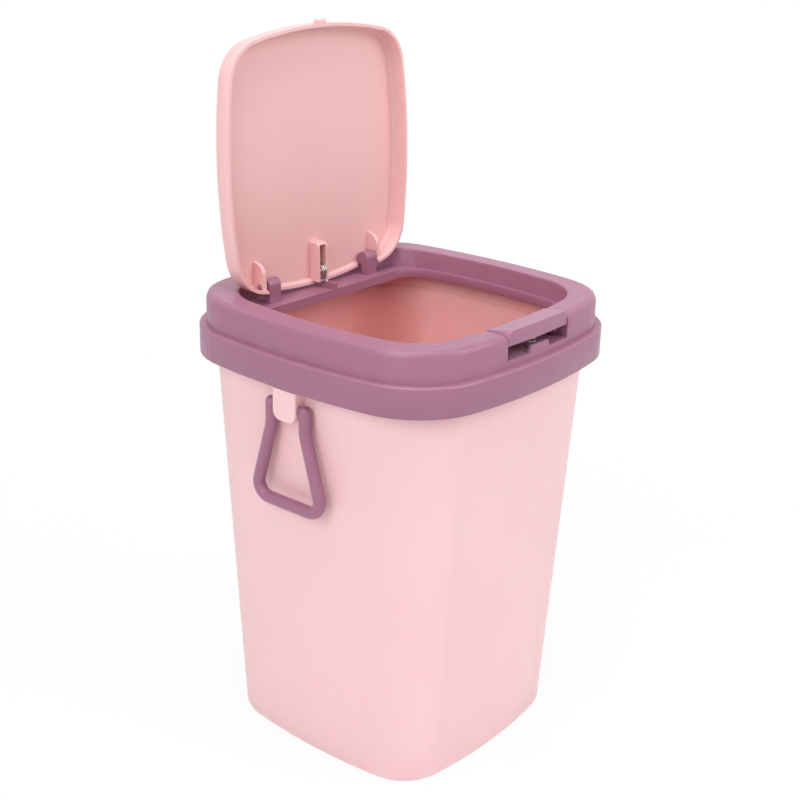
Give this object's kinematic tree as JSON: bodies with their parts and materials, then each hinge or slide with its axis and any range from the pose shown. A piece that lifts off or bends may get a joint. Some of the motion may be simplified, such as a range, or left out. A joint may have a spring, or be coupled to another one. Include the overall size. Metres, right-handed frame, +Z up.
{
  "type": "push-button kitchen bin",
  "caption": "Tapered square kitchen bin with a lift-off rim, a sprung lid that flips open at a push button, and bail handles on the sides.",
  "frame": {"origin": "centre of the foot rim, on the floor under the middle of the bin", "axes": "+Z up, -Y towards the push button, +Y towards the lid hinge, handles at -X and +X; the rest pose has the lid open as pictured"},
  "size_m": [0.22, 0.2256, 0.4665],
  "materials": {
    "body_plastic": "fine satin",
    "rim_plastic": "fine satin",
    "spring_steel": "drawn wire"
  },
  "bodies": {
    "bin": {"bucket": "body_plastic"},
    "rim": {"collar": "rim_plastic", "lid_spring": "spring_steel", "button_spring": "spring_steel"},
    "lid": {"lid": "body_plastic"},
    "button": {"push_button": "rim_plastic"},
    "left_handle": {"handle_left": "rim_plastic"},
    "right_handle": {"handle_right": "rim_plastic"}
  },
  "joints": [
    {"name": "collar_lift", "type": "slide", "parent": "bin", "child": "rim", "axis": [0, 0, 1], "range_m": [0, 0.04]},
    {"name": "lid_hinge", "type": "hinge", "parent": "rim", "child": "lid", "pos_m": [0, 0.072, 0.302], "axis": [1, 0, 0], "range_deg": [0, 91.9], "stiffness_Nm_per_rad": 0.04, "springref_deg": -28.65, "deforming": ["lid_spring"]},
    {"name": "button_pivot", "type": "hinge", "parent": "rim", "child": "button", "pos_m": [0, -0.0965, 0.292], "axis": [1, 0, 0], "range_deg": [0, 14], "stiffness_Nm_per_rad": 0.014, "springref_deg": -17.19, "deforming": ["button_spring"]},
    {"name": "handle_left_swing", "type": "hinge", "parent": "bin", "child": "left_handle", "pos_m": [-0.1053, 0, 0.2523], "axis": [0, 1, 0], "range_deg": [-3, 130]},
    {"name": "handle_right_swing", "type": "hinge", "parent": "bin", "child": "right_handle", "pos_m": [0.1053, 0, 0.2523], "axis": [0, -1, 0], "range_deg": [-3, 130]}
  ]
}
